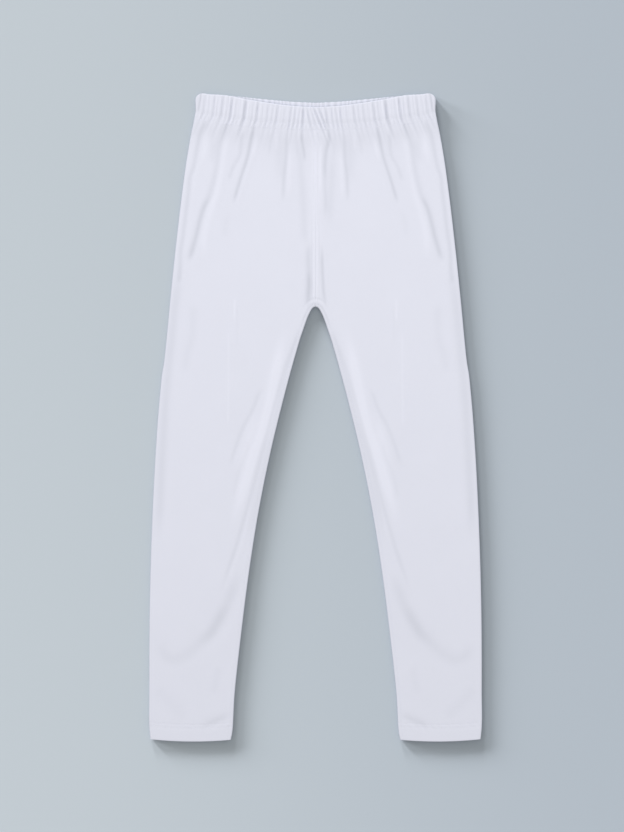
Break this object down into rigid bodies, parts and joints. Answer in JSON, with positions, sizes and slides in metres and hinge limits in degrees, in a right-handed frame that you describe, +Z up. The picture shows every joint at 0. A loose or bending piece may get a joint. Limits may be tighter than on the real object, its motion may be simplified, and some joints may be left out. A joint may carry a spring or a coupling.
{
  "type": "leggings",
  "caption": "Plain white pull-on jersey leggings laid flat, front up, with a gathered elastic waistband, centre seam, tapered legs and turned hems.",
  "frame": {"origin": "centre of the garment's bounding box, at the surface it lies on", "axes": "+Z up out of the garment's front, +Y from the hems to the waist, +X towards the wearer's left leg"},
  "size_m": [0.36, 0.7, 0.0063],
  "materials": {
    "jersey": "matt"
  },
  "bodies": {
    "root": {"waistband": "jersey", "leg_left": "jersey", "leg_right": "jersey"}
  },
  "joints": []
}
